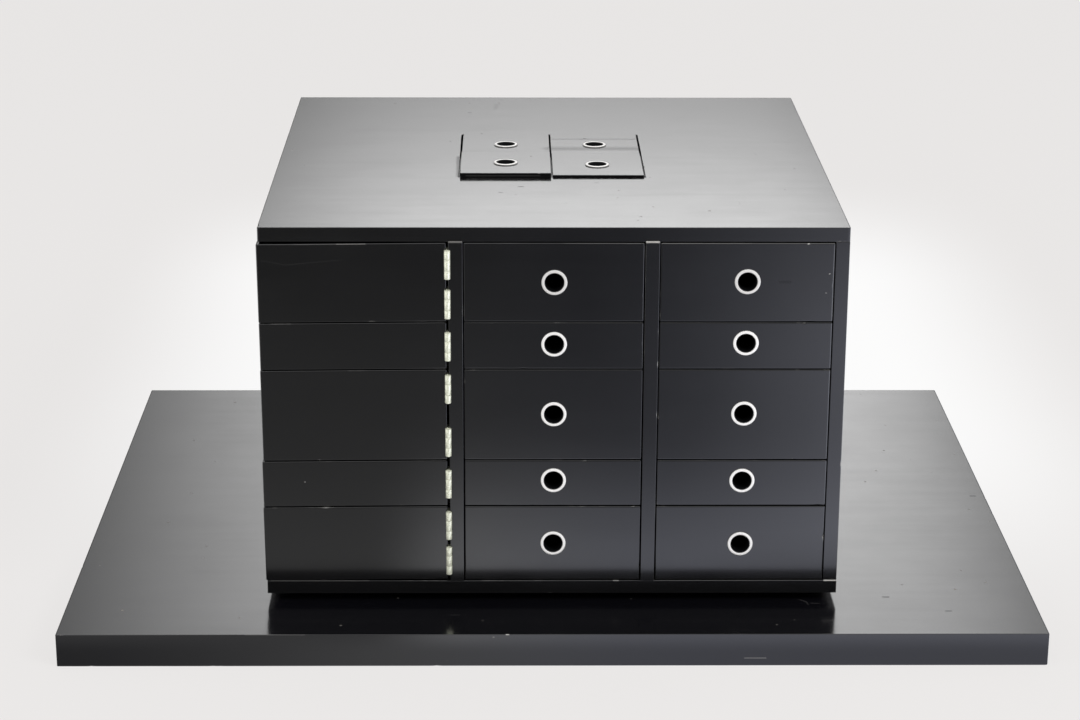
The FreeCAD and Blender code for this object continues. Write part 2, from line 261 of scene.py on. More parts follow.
def on_lines(tree, place, lines):
    """How much a point lies on any of some lines, 0 to 1. A line is a start and an end in
    millimetres, half its width, and how strong it is.

    The nearest point of a line is start + u run, where u is held between 0 and 1."""
    found = 0.0
    for start, end, half_width, strength in lines:
        start, end = Vector(start) * millimetre, Vector(end) * millimetre
        run = end - start
        offset = add(tree, "VectorMath", (place, start), operation="SUBTRACT")
        u = add(tree, "VectorMath", (offset, run / (run @ run)),
                operation="DOT_PRODUCT").outputs["Value"]
        u = add(tree, "Clamp", (u, 0.0, 1.0))
        along = add(tree, "VectorMath", {0: run, "Scale": u}, operation="SCALE")
        aside = add(tree, "VectorMath", (offset, along), operation="DISTANCE").outputs["Value"]
        line = add(tree, "MapRange", (aside, half_width * millimetre, 0.0, 0.0,
                   strength), **smooth)
        found = add(tree, "Math", (found, line), operation="MAXIMUM")
    return found


def marks_on(axis, level, *marks):
    """Lines on the flat face at a level of one axis. A mark is the two other coordinates of
    its start and of its end, half its width, and its strength."""
    lines = []
    for *ends, half_width, strength in marks:
        ends = np.insert(np.reshape(ends, (2, 2)), "xyz".index(axis), level, axis=1)
        lines.append((*ends.tolist(), half_width, strength))
    return lines


def black_laminate(name, dip, scratches_and_highlights=(), smudges=(), sheet=laminate_black):
    """Satin black laminate, read in Object coordinates. One unit of noise is one metre.

    The sheet dips by up to dip millimetres. A scratch shows the pale core, and so does a
    painted highlight drawn as a line along an arris; a smudge only dulls the sheen."""
    material, tree, place = new_material(name)

    # Hands and cloths leave clouds about 90 mm across, and rubbing leaves streaks about 250 mm
    # long and 18 mm wide.
    clouds = add(tree, "TexNoise", {"Vector": place, "Scale": 11.0, "Detail": 4.0,
                 "Roughness": 0.6})
    rough = add(tree, "MapRange", (clouds, 0.3, 0.7, 0.15, 0.22))
    along = add(tree, "Mapping", {"Vector": place, "Scale": (4.0, 55.0, 55.0),
                "Rotation": (0.0, 0.0, math.radians(2.0))})
    streaks = add(tree, "TexNoise", {"Vector": along, "Scale": 1.0, "Detail": 5.0,
                  "Roughness": 0.65})
    streaks = add(tree, "MapRange", (streaks, 0.35, 0.7, 0.0, 0.05))
    rough = add(tree, "Math", (rough, streaks), operation="ADD")

    # Dust lies mostly on faces that look up: specks 1 to 4 mm across, some of them faint.
    cell = 0.018
    specks = add(tree, "TexVoronoi", {"Vector": place, "Scale": 1 / cell})
    choice = add(tree, "SeparateColor", (specks.outputs["Color"],))
    up = add(tree, "SeparateXYZ", (add(tree, "NewGeometry").outputs["Normal"],)).outputs["Z"]
    lying = add(tree, "MapRange", (up, 0.2, 0.9, 0.42, 1.0))
    size = add(tree, "MapRange", (choice, 0.2, 1.0, 0.0, 0.11))
    size = add(tree, "Math", (size, lying), operation="MULTIPLY")
    inside = add(tree, "Math", (size, specks.outputs["Distance"]), operation="SUBTRACT")
    dust = add(tree, "MapRange", (inside, 0.0, 0.025, 0.0, 1.0))
    faint = add(tree, "MapRange", (choice.outputs[1], 0.4, 1.0, 0.04, 0.8))
    dust = add(tree, "Math", (dust, faint), operation="MULTIPLY")

    # An arris that is rubbed shows the pale core under the black sheet, in lengths of 20 mm
    # or so. The same pale colour on the arrises also paints their highlights.
    wear_and_highlight = add(tree, "Attribute", attribute_name="wear_and_highlight").outputs["Fac"]
    broken = add(tree, "TexNoise", {"Vector": place, "Scale": 45.0, "Detail": 4.0,
                 "Roughness": 0.6})
    rubbed_and_highlit = add(tree, "Math", (wear_and_highlight, broken), operation="MULTIPLY")
    rubbed_and_highlit = add(tree, "MapRange", (rubbed_and_highlit, 0.60, 1.2, 0.0, 0.35))
    scored_and_highlit = add(tree, "Math", (rubbed_and_highlit, on_lines(tree, place, scratches_and_highlights)), operation="MAXIMUM")
    colour = add(tree, "Mix", {0: scored_and_highlit, 6: linear(sheet), 7: linear(core_and_highlight_pale)}, **tints)
    colour = add(tree, "Mix", {0: dust, 6: colour.outputs[2], 7: linear(dust_grey)}, **tints)
    spoiled = add(tree, "Math", (dust, scored_and_highlit), operation="MAXIMUM")
    spoiled = add(tree, "Math", (spoiled, on_lines(tree, place, smudges)), operation="MAXIMUM")
    rough = add(tree, "Mix", {0: spoiled, 2: rough, 3: 0.7})
    coat_left = add(tree, "MapRange", (spoiled, 0.0, 0.8, 1.0, 0.0))

    # The sheet is not quite flat: it dips a little over a hand's width of 80 mm. Its satin
    # press is a grain that is too fine to show, so it is drawn 1 mm wide.
    waves = add(tree, "TexNoise", {"Vector": place, "Scale": 12.0, "Detail": 1.0})
    relief = add(tree, "Math", (waves, dip * millimetre), operation="MULTIPLY")
    grain = add(tree, "TexNoise", {"Vector": place, "Scale": 900.0, "Detail": 2.0})
    relief = add(tree, "Math", (grain, 0.0000012, relief), operation="MULTIPLY_ADD")
    relief = add(tree, "Math", (dust, 0.00006, relief), operation="MULTIPLY_ADD")
    bump = add(tree, "Bump", {"Height": relief, "Strength": 1.0, "Distance": 1.0})
    shader = add(tree, "BsdfPrincipled", {
        "Base Color": colour.outputs[2], "Roughness": rough, "IOR": 1.5,
        "Coat Weight": coat_left, "Coat Roughness": 0.12, "Normal": bump})
    add(tree, "OutputMaterial", (shader,))
    return material


satin_laminate = black_laminate("satin_black_laminate", dip=0.1)


def box_mm(node):
    """The lowest and highest corner of a piece of the frame, in millimetres."""
    low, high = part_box(node)
    return np.array(low) / millimetre, np.array(high) / millimetre


merge_below = 0.004                 # points this close together are one


def ring_quads(rows, columns, start=0, joined=False):
    """The quads of a grid whose columns close up, and whose rows do too if they are joined."""
    k, i = np.meshgrid(np.arange(rows if joined else rows - 1), np.arange(columns), indexing="ij")
    beside = (i + 1) % columns
    after = (k + 1) % rows
    return np.stack([k * columns + i, k * columns + beside, after * columns + beside,
                     after * columns + i], axis=-1).reshape(-1, 4) + start


def make_piece(name, points, faces, material, body, replaces=(), marks=None,
               crease=180.0):
    """A finished piece from points in millimetres. Doubles are merged and normals face out.

    Marks are numbers at the points, which the material reads as an attribute."""
    mesh = bpy.data.meshes.new(name)
    mesh.from_pydata(np.asarray(points), [], [list(face) for face in faces])
    for mark, values in (marks or {}).items():
        mesh.attributes.new(mark, "FLOAT", "POINT").data.foreach_set(
            "value", np.asarray(values, np.float32))
    shape = bmesh.new()
    shape.from_mesh(mesh)
    bmesh.ops.remove_doubles(shape, verts=shape.verts, dist=merge_below)
    bmesh.ops.recalc_face_normals(shape, faces=shape.faces)
    bmesh.ops.scale(shape, verts=shape.verts, vec=(millimetre, millimetre, millimetre))
    shape.to_mesh(mesh)
    shape.free()
    mesh.shade_smooth()
    if crease < 180.0:
        mesh.set_sharp_from_angle(angle=math.radians(crease))
    mesh.materials.append(material)
    piece = bpy.data.objects.new(name, mesh)
    bpy.context.scene.collection.objects.link(piece)
    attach(piece, body)
    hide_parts(*replaces)


def turned_to(loop, first, last):
    """The part of a closed list of numbers that runs from one of its places to another."""
    return np.roll(loop, -first)[:(last - first) % len(loop) + 1]


def cap(rings, numbers):
    """The flat face of a board with holes in a row, as two halves that meet on the row.

    Both halves run anticlockwise: along the outline from one side to the other, and back
    along one side of each hole. The rings are flat outlines, and the first is the board's."""
    if len(rings) == 1:
        return [numbers[0]]
    middles = [ring.mean(axis=0) for ring in rings[1:]]
    row = middles[-1] - middles[0] if len(middles) > 1 else np.array([1.0, 0.0])
    row = row / np.linalg.norm(row)
    across = np.array([-row[1], row[0]])
    lefts = [int(np.argmin(ring @ row)) for ring in rings[1:]]
    rights = [int(np.argmax(ring @ row)) for ring in rings[1:]]
    outer = rings[0]
    offset = abs((outer - rings[1][lefts[0]]) @ across)
    start = int(np.argmin(offset + 1e6 * ((outer - rings[1][lefts[0]]) @ row > 0)))
    offset = abs((outer - rings[-1][rights[-1]]) @ across)
    end = int(np.argmin(offset + 1e6 * ((outer - rings[-1][rights[-1]]) @ row < 0)))
    holes = list(zip(numbers[1:], lefts, rights))
    lower = [turned_to(numbers[0], start, end)] + [
        turned_to(loop, right, left) for loop, left, right in holes[::-1]]
    upper = [turned_to(numbers[0], end, start)] + [
        turned_to(loop, left, right) for loop, left, right in holes]
    return [np.concatenate(lower), np.concatenate(upper)]


corner_points = 5                   # round each corner of an outline
arris_rings = 5                     # across each eased arris
stop_half = 0.05                    # half the distance between the two points of a stop
flat_band = 0.4                     # from an arris to the ring that keeps the face flat
edge_band = 0.3                     # the same on the edge, as a share of its free width
edge_band_most = 1.4


def outline(corners, radius=0.6, step=2.5, clear=3.0, stops=()):
    """Points round a flat outline with rounded corners, which runs anticlockwise.

    Each point is an arc centre, a direction out and a direction in. Shrunk by d it lies at
    centre + out * max(radius - d, 0) + into * max(d - radius, 0), so that every shrunk
    outline is parallel to the first. A stop is (side, distance along it) for two points
    close together, and on each side the points keep clear of the corners. The outline of an
    opening runs clockwise and has a radius of 0."""
    corners = np.asarray(corners, float)
    sides = np.roll(corners, -1, axis=0) - corners
    lengths = np.linalg.norm(sides, axis=1)
    forward = sides / lengths[:, None]
    inward = np.stack([-forward[:, 1], forward[:, 0]], axis=1)
    centres, out, into = [], [], []
    for i in range(len(corners)):
        mitre = inward[i - 1] + inward[i]
        mitre = mitre / (1 + inward[i - 1] @ inward[i])
        share = np.linspace(0, 1, corner_points if radius > 0 else 1)[:, None]
        fan = -inward[i - 1] * (1 - share) - inward[i] * share
        fan = fan / np.linalg.norm(fan, axis=1)[:, None]
        centres.append(np.repeat((corners[i] + mitre * radius)[None], len(fan), axis=0))
        out.append(fan)
        into.append(np.repeat(mitre[None], len(fan), axis=0))
        steps = max(2, int(round((lengths[i] - 2 * clear) / step)))
        along = np.linspace(clear, lengths[i] - clear, steps + 1)
        extra = [d + e for side, d in stops if side == i for e in (-stop_half, stop_half)]
        along = np.sort(np.concatenate([along, extra]))[:, None]
        centres.append(corners[i] + forward[i] * along + inward[i] * radius)
        out.append(np.repeat(-inward[i][None], len(along), axis=0))
        into.append(np.repeat(inward[i][None], len(along), axis=0))
    return np.concatenate(centres), np.concatenate(out), np.concatenate(into), radius


def round_hole(middle, bore, count=64, radius=0.3):
    """A round hole in the same form, where shrinking the board widens the hole."""
    turn = -np.linspace(0, 2 * np.pi, count, endpoint=False)
    ray = np.stack([np.cos(turn), np.sin(turn)], axis=1)
    return np.asarray(middle) + ray * (bore + radius), -ray, ray, radius


def worn_arris(count, radius, seed, wear, nicks):
    """The radius of an eased arris at each of its points: slow waves and a few nicks."""
    draw = np.random.default_rng(seed)
    around = np.linspace(0, 2 * np.pi, count, endpoint=False)
    waves = sum(draw.normal() / k * np.cos(k * around + draw.uniform(0, 6.28))
                for k in range(2, 30, 3))
    size = radius * (1 + wear * np.clip(waves, -1.2, 1.8))
    for _ in range(nicks):
        gap = np.abs(np.arange(count) - draw.integers(count))
        gap = np.minimum(gap, count - gap)
        size = size + draw.uniform(0.3, 0.8) * np.exp(-(gap / draw.uniform(0.7, 1.3)) ** 2)
    return size


def board_piece(name, edges, depth, axes, body, seed, radius=0.5, wear=0.35, nicks=3,
                notches=(), replaces=(), material=satin_laminate):
    """A board: an eased arris, the edge and another arris, carried round each outline.

    Ring k of an arris is the outline shrunk by r (1 - sin a) at a depth of r (1 - cos a),
    where a goes from 0 to 90 degrees. In a notch it follows a circle round the hinge pin.
    One more ring on the face and one on the edge, close to the arris, keep both flat.
    Depth runs from the first face to the second, along the last of the three axes."""
    order = ["xyz".index(letter) for letter in axes]
    first, last = depth
    towards = math.copysign(1.0, last - first)
    angle = np.linspace(0, np.pi / 2, arris_rings)[:, None]
    points, faces, wear_and_highlight, rings, numbers = [], [], [], [], []
    start = 0
    for number, (centres, out, into, corner) in enumerate(edges):
        count = len(centres)
        # Points that fan out from one corner share one radius, so that they never cross.
        fan = np.append(0, np.cumsum(abs(np.diff(centres, axis=0)).max(axis=1) > 1e-9))
        size = worn_arris(count, radius, seed + number, wear, nicks)[fan]
        back = worn_arris(count, radius, seed + number + 50, wear, nicks)[fan]
        shrink = size * (1 - np.sin(angle))
        sink = size * (1 - np.cos(angle))
        for chosen, aside, behind, room in notches:
            if number == 0:
                low_turn = np.arcsin(behind / room)
                turn = low_turn + (np.arccos(aside / room) - low_turn) * angle / (np.pi / 2)
                shrink = np.where(chosen(centres), room * np.cos(turn) - aside, shrink)
                sink = np.where(chosen(centres), room * np.sin(turn) - behind, sink)
        back_shrink = back * (1 - np.sin(angle[::-1]))
        back_sink = back * (1 - np.cos(angle[::-1]))
        beside = edge_band * np.clip(abs(last - first) - sink[-1:] - back_sink[:1], 0,
                                     edge_band_most)
        shrink = np.concatenate([shrink[:1] + flat_band, shrink, shrink[-1:], back_shrink[:1],
                                 back_shrink, back_shrink[-1:] + flat_band])[..., None]
        level = np.concatenate([
            first + towards * np.concatenate([0 * sink[:1], sink, sink[-1:] + beside]),
            last - towards * np.concatenate([back_sink[:1] + beside, back_sink, 0 * sink[:1]])])
        flat = centres + out * np.maximum(corner - shrink, 0) + into * np.maximum(
            shrink - corner, 0)
        grid = np.zeros(flat.shape[:2] + (3,))
        grid[..., order[0]] = flat[..., 0]
        grid[..., order[1]] = flat[..., 1]
        grid[..., order[2]] = level
        # The wear, which the material also uses for painted highlights, lies on the inner rings of
        # both arrises.
        rub = np.zeros(grid.shape[:2])
        rub[2:arris_rings] = size / radius
        rub[-arris_rings:-2] = back / radius
        points.append(grid.reshape(-1, 3))
        faces += ring_quads(len(grid), count, start).tolist()
        wear_and_highlight.append(rub.ravel())
        rings.append((flat[0], flat[-1]))
        numbers.append((np.arange(count) + start, np.arange(count) + start + rub.size - count))
        start += rub.size
    for side in (0, 1):
        faces += cap([ring[side] for ring in rings], [number[side] for number in numbers])
    make_piece(name, np.concatenate(points), faces, material, body, replaces,
               {"wear_and_highlight": np.concatenate(wear_and_highlight)})


def rectangle(low, high, axes):
    """The four corners of one face of a box, anticlockwise in two of its axes."""
    a, b = ["xyz".index(letter) for letter in axes]
    return [(low[a], low[b]), (high[a], low[b]), (high[a], high[b]), (low[a], high[b])]


low, high = box_mm("base_board")
edge, face = low[1], high[2]
arris = face - arris_in
base_scratches_and_highlights = [
    *marks_on("y", edge, (197.0, 8.5, 219.0, 8.5, 0.8, 0.22),
              (-62.0, face - 3.0, -61.0, face - 3.0, 0.9, 0.25)),
    # On the top arris of the front edge: a short pale mark and a faint 61 mm painted highlight.
    *marks_on("y", edge + arris_in, (-48.5, arris, -46.0, arris, 1.0, 0.8),
              (-316.0, arris, -255.0, arris, 0.8, 0.08)),
    *marks_on("z", face, (-107.2, -337.9, -96.8, -337.9, 0.6, 0.08),
              (262.0, -299.0, 268.5, -304.0, 0.8, 0.12),
              (268.5, -304.0, 270.0, -312.0, 0.7, 0.10),
              (273.0, -308.0, 281.0, -309.0, 0.6, 0.12))]
base_smudges = marks_on("z", face, (352.0, -292.0, 357.0, -292.0, 2.5, 0.5),
                        (413.0, -329.1, 418.0, -329.1, 2.0, 0.5),
                        (494.0, 4.4, 499.0, 4.4, 2.5, 0.5))
base_laminate = black_laminate("base_board_laminate", 0.1, base_scratches_and_highlights, base_smudges,
                               laminate_hazed)
board_piece("base_board_laminated", [outline(rectangle(low, high, "xy"), radius=1.2)],
            (high[2], low[2]), "xyz", "base", seed=3, radius=0.7, nicks=9,
            replaces=["base_board"], material=base_laminate)


# Turntable. Two pressed steel plates, zinc plated, face each other with a ring of hardened
# balls in a thin cage between them. The lower plate is screwed to the base board and the
# upper one to the cabinet, each by four round-headed screws.
plate_sheet = 1.5                   # thickness of the plates' steel
zinc_grey = "#A9ABAC"
bright_steel = "#C9C9C8"
plate_screw_radius = 4.0            # of the head
plate_screw_height = 1.1
plate_screw_inset = 22.0            # from the sides of the plate


def plain_metal(name, colour, roughness, speckle_mm, spread):
    """A metal whose roughness varies in specks of a given size, as plating and rolling leave."""
    material, tree, place = new_material(name)
    speckle = add(tree, "TexNoise", {"Vector": place, "Scale": 1000 / speckle_mm,
                  "Detail": 4.0, "Roughness": 0.6})
    rough = add(tree, "MapRange", (speckle, 0.3, 0.7, roughness - spread, roughness + spread))
    tint = add(tree, "MapRange", (speckle, 0.3, 0.7, 0.85, 1.0))
    colour = add(tree, "VectorMath", {0: linear(colour)[:3], "Scale": tint}, operation="SCALE")
    bump = add(tree, "Bump", {"Height": speckle, "Strength": 0.3, "Distance": 0.00003})
    shader = add(tree, "BsdfPrincipled", {
        "Base Color": colour, "Roughness": rough, "Metallic": 1.0, "Normal": bump})
    add(tree, "OutputMaterial", (shader,))
    return material


def domed_heads(name, places, radius, height, up, body):
    """Round screw heads: h = height * sqrt(1 - (r / radius) squared), turned about Z."""
    share = np.linspace(0, 1, 9)
    turn = np.linspace(0, 2 * np.pi, 24, endpoint=False)
    r, a = np.meshgrid(radius * np.sin(share * np.pi / 2), turn, indexing="ij")
    rise = height * np.sqrt(np.maximum(1 - (r / radius) ** 2, 0))
    points, faces = [], []
    for x, y, z in places:
        dome = np.stack([x + r * np.cos(a), y + r * np.sin(a), z + up * rise], axis=-1)
        foot = np.stack([x + r[-1] * np.cos(turn), y + r[-1] * np.sin(turn),
                         np.full(len(turn), z)], axis=-1)
        start = sum(len(p) for p in points)
        points.append(np.concatenate([dome.reshape(-1, 3), foot]))
        faces += ring_quads(len(share) + 1, len(turn), start).tolist()
        faces.append([start + len(share) * len(turn) + i for i in range(len(turn))])
    make_piece(name, np.concatenate(points), faces, plate_steel, body,
               crease=40.0)


def dress(node, material):
    """Give a piece of the frame, which is seen as it is, its material."""
    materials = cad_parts[node].data.materials
    materials.clear()
    materials.append(material)


plate_steel = plain_metal("zinc_plated_steel", zinc_grey, 0.38, 1.2, 0.08)
ball_steel = plain_metal("hardened_ball_steel", bright_steel, 0.12, 0.6, 0.03)
dress("turntable_balls", ball_steel)
for which, body, up in (("lower", "base", 1), ("upper", "cabinet", -1)):
    node = f"turntable_{which}_plate"
    dress(node, plate_steel)
    low, high = box_mm(node)
    plate_face = (low[2] if up > 0 else high[2]) + up * plate_sheet
    reach = high[0] - plate_screw_inset
    domed_heads(node + "_screws", [(x, y, plate_face) for x in (-reach, reach)
                for y in (-reach, reach)], plate_screw_radius, plate_screw_height, up, body)


# Carcass. Boards of the same laminate, dowelled and glued: a bottom, two sides, a back and
# two partitions, with the top board laid over them. The top is one sheet with a square
# opening, and the bottom stands out a little, so that its front edge shows.
low, high = box_mm("bottom_panel")
edge, face = low[1] + arris_in, high[2] - 0.2
# Painted highlights: pale lines along the top arris of the bottom board's front edge, brightest at
# its right end.
bottom_laminate = black_laminate("bottom_board_laminate", 0.1, marks_on(
    "y", edge, (-296.0, face, -193.0, face, 0.8, 0.07), (-60.0, face, 88.0, face, 0.7, 0.04),
    (64.5, face, 69.5, face, 1.0, 0.40), (100.0, face, 284.0, face, 0.8, 0.06),
    (287.0, face, 299.0, face, 1.3, 0.8)))
board_piece("bottom_panel_laminated", [outline(rectangle(low, high, "xy"))],
            (low[2], high[2]), "xyz", "cabinet", seed=5, replaces=["bottom_panel"],
            material=bottom_laminate)

board = high[2] - low[2]
low, high = box_mm("side_panels")
front_edge = box_mm("top_panel")[0][1]
behind_doors = box_mm("door_1")[1][1] + 0.4         # the left side ends clear of the doors
for side, x0, y0 in (("left", low[0], behind_doors), ("right", high[0] - board, front_edge)):
    corner = np.array([x0, y0, low[2]]), np.array([x0 + board, high[1], high[2]])
    board_piece(f"side_panel_{side}_laminated", [outline(rectangle(*corner, "yz"))],
                (x0, x0 + board), "yzx", "cabinet", seed=7 + int(side == "left"), radius=0.4,
                replaces=["side_panels"] if side == "left" else [])
low, high = box_mm("back_panel")
board_piece("back_panel_laminated", [outline(rectangle(low, high, "xz"), radius=0.3)],
            (high[1], low[1]), "xzy", "cabinet", seed=9, radius=0.25, nicks=0,
            replaces=["back_panel"])

low, high = box_mm("top_panel")
well_left, well_right = -100.0, 102.3
well_front, well_back = -96.0, 104.0
well_corners = [(well_left, well_front), (well_left, well_back), (well_right, well_back),
                (well_right, well_front)]
top_laminate = black_laminate("top_board_laminate", 0.1, smudges=marks_on(
    "z", high[2], (well_left - 2.0, -4.0, well_left - 0.5, -92.0, 4.0, 0.40),
    (-62.0, 236.0, -60.0, 262.0, 6.0, 0.16), (-35.0, -136.0, -31.0, -136.0, 1.8, 0.7),
    (-56.0, -160.0, -53.0, -160.0, 1.5, 0.6), (47.0, -119.0, 50.0, -119.0, 1.5, 0.5),
    (-94.0, 218.0, -91.0, 218.0, 1.8, 0.5)))
board_piece("top_panel_laminated", [outline(rectangle(low, high, "xy"), radius=1.0),
            outline(well_corners, radius=0.0)], (high[2], low[2]), "xyz", "cabinet", seed=11,
            radius=0.6, nicks=6, replaces=["top_panel"], material=top_laminate)


# Partitions. Each is an upright board with a strip of the same laminate glued to its front
# edge, which laps a hair over the edge of the top board. The left strip is hollowed beside
# each hinge, so that the knuckles turn clear of it.
knuckle_radius = 3.15
knuckle_clear = 0.35                # between a knuckle and the board beside it
knuckle_room = knuckle_radius + knuckle_clear
hinge_height = 30.0
middle_knuckle = 11.6               # the room between the two fixed knuckles
strip_depth = 3.0
strip_top_highlight = {"left": 0.35, "right": 1.0}     # how strong the painted highlight on the top end of a strip is

low, high = box_mm("hinge_fixed_leaves")
pin_x = (low[0] + high[0]) / 2
pin_y = low[1] + knuckle_radius


def hinge_middles(number):
    """The heights of the middles of a door's hinges: one on a shallow door, else two."""
    low, high = box_mm(f"door_{number}_hinge_leaf")
    ends = (low[2] + hinge_height / 2, high[2] - hinge_height / 2)
    return ends if ends[1] - ends[0] > 1 else ends[:1]


all_hinges = [middle for number in range(1, 6) for middle in hinge_middles(number)]
hinge_reach = hinge_height / 2 + knuckle_clear
low, high = box_mm("partitions")
carcass_top = box_mm("side_panels")[1][2]
for side, x0 in (("left", low[0]), ("right", high[0] - board)):
    strip = [(x0, low[2]), (x0 + board, low[2]), (x0 + board, high[2]), (x0, high[2])]
    stops = []
    notches = []
    if side == "left":
        stops = [(3, high[2] - z) for m in all_hinges for z in (m - hinge_reach, m + hinge_reach)]
        notches = [(lambda c, m=m: (c[:, 0] < x0 + 1) & (abs(c[:, 1] - m) < hinge_reach),
                    x0 - pin_x, low[1] - pin_y, knuckle_room) for m in all_hinges]
    # Painted highlight: the top end of each strip is drawn in the pale core colour.
    top_highlight = (x0 + 1.0, low[1] + 0.8, x0 + board - 1.0, low[1] + 0.8, 2.2, strip_top_highlight[side])
    strip_laminate = black_laminate(f"{side}_strip_laminate", 0.3, marks_on("z", high[2], top_highlight))
    board_piece(f"partition_{side}_strip", [outline(strip, stops=stops)],
                (low[1], low[1] + strip_depth), "xzy", "cabinet", seed=13 + int(side == "left"),
                radius=0.35, notches=notches, replaces=["partitions"] if side == "left" else [],
                material=strip_laminate)
    corner = np.array([x0, front_edge, low[2]]), np.array([x0 + board, high[1], carcass_top])
    board_piece(f"partition_{side}_laminated", [outline(rectangle(*corner, "yz"), radius=0.3)],
                (x0, x0 + board), "yzx", "cabinet", seed=17 + int(side == "left"), radius=0.25,
                nicks=0)


# Well, shelves and runners. The well's two walls and the board that halves it are the same
# black board. The shelves behind the doors and the runners under the drawers are hardwood,
# stained black, and so are the boards of the drawer boxes.
stain_dark = "#17120F"
stain_worn = "#33281F"
grain_stretch = 0.06                # scale of the grain along the board, where across is 1


def stained_wood(name, ring_mm, streak_mm):
    """Stained hardwood: rings stretched along Y, with pores as fine dark streaks.

    The pores of the real wood are too fine for the picture, so they are drawn coarser."""
    material, tree, place = new_material(name)
    grain = add(tree, "Mapping", {"Vector": place, "Scale": (1.0, grain_stretch, 1.0)})
    rings = add(tree, "TexNoise", {"Vector": grain, "Scale": 1000 / ring_mm,
                "Detail": 3.0, "Distortion": 0.8})
    pores = add(tree, "TexNoise", {"Vector": grain, "Scale": 1000 / streak_mm, "Detail": 2.0})
    share = add(tree, "MapRange", (rings, 0.35, 0.7, 0.0, 1.0))
    share = add(tree, "Math", (share, pores), operation="MULTIPLY")
    colour = add(tree, "Mix", {0: share, 6: linear(stain_dark), 7: linear(stain_worn)}, **tints)
    rough = add(tree, "MapRange", (pores, 0.3, 0.7, 0.62, 0.42))
    bump = add(tree, "Bump", {"Height": pores, "Strength": 0.5, "Distance": 0.0001})
    shader = add(tree, "BsdfPrincipled", {"Base Color": colour.outputs[2],
                 "Roughness": rough, "Normal": bump})
    add(tree, "OutputMaterial", (shader,))
    return material


low, high = box_mm("well_walls")
for name, x0, x1, y0, y1 in (
        ("front", low[0], high[0], low[1], low[1] + board),
        ("back", low[0], high[0], high[1] - board, high[1]),
        ("divider", -board / 2, board / 2, low[1] + board, high[1] - board)):
    corner = np.array([x0, y0, low[2]]), np.array([x1, y1, high[2]])
    board_piece(f"well_{name}_laminated", [outline(rectangle(*corner, "xy"), radius=0.3)],
                (low[2], high[2]), "xyz", "cabinet", seed=21, radius=0.25, nicks=0,
                replaces=["well_walls"] if name == "front" else [])

lengthwise_wood = stained_wood("black_stained_hardwood", ring_mm=7.0, streak_mm=0.9)
dress("shelves_and_runners", lengthwise_wood)
for row in range(1, 6):
    for column in ("centre", "right"):
        dress(f"{column}_drawer_{row}_box", lengthwise_wood)


# Finger rings. Each is turned from aluminium: a crowned flange, brushed on a wheel and dulled
# by fingers, and a sleeve that is pressed into the hole in the front or lid.
ring_silver = "#FCFBF9"
# near-black of the painted shade in the sleeve and on the edges of the crown
ring_shade_black = "#101113"
ring_inner = 19.0                   # diameter of the finger hole
ring_steps = 72                     # round the ring
ring_ease = 0.15                    # on its sharp edges
flange_edge = 0.4                   # its height at both edges
flange_height = 1.5
sleeve_wall = 1.0
sleeve_fit = 0.1                    # between the sleeve and the hole in the board
tool_mark = 0.3                     # spacing of the rings that the lathe left
ring_hole = ring_inner / 2 + sleeve_wall + sleeve_fit


def turned_aluminium(name):
    """Turned aluminium with the fine rings of the lathe, dulled evenly by fingers.

    The attribute turned is the distance from the ring's axis in millimetres. The other
    attribute is painted shade from 0 to 1: it darkens the colour towards near-black and
    lowers the metal to none.
    The polish varies in patches just under 2 mm across."""
    material, tree, place = new_material(name)
    ring_shade = add(tree, "Attribute", attribute_name="ring_shade").outputs["Fac"]
    turned = add(tree, "Attribute", attribute_name="turned").outputs["Fac"]
    marks = add(tree, "Math", (turned, 2 * math.pi / tool_mark), operation="MULTIPLY")
    marks = add(tree, "Math", (marks,), operation="SINE")
    cloud = add(tree, "TexNoise", {"Vector": place, "Scale": 600.0, "Detail": 4.0})
    rough = add(tree, "MapRange", (cloud, 0.3, 0.7, 0.36, 0.50))
    colour = add(tree, "Mix", {0: ring_shade, 6: linear(ring_silver), 7: linear(ring_shade_black)}, **tints)
    metal = add(tree, "MapRange", (ring_shade, 0.0, 1.0, 0.3, 0.0))
    bump = add(tree, "Bump", {"Height": marks, "Strength": 1.0, "Distance": 0.000002})
    shader = add(tree, "BsdfPrincipled", {"Base Color": colour.outputs[2],
                 "Roughness": rough, "Metallic": metal, "Normal": bump})
    add(tree, "OutputMaterial", (shader,))
    return material


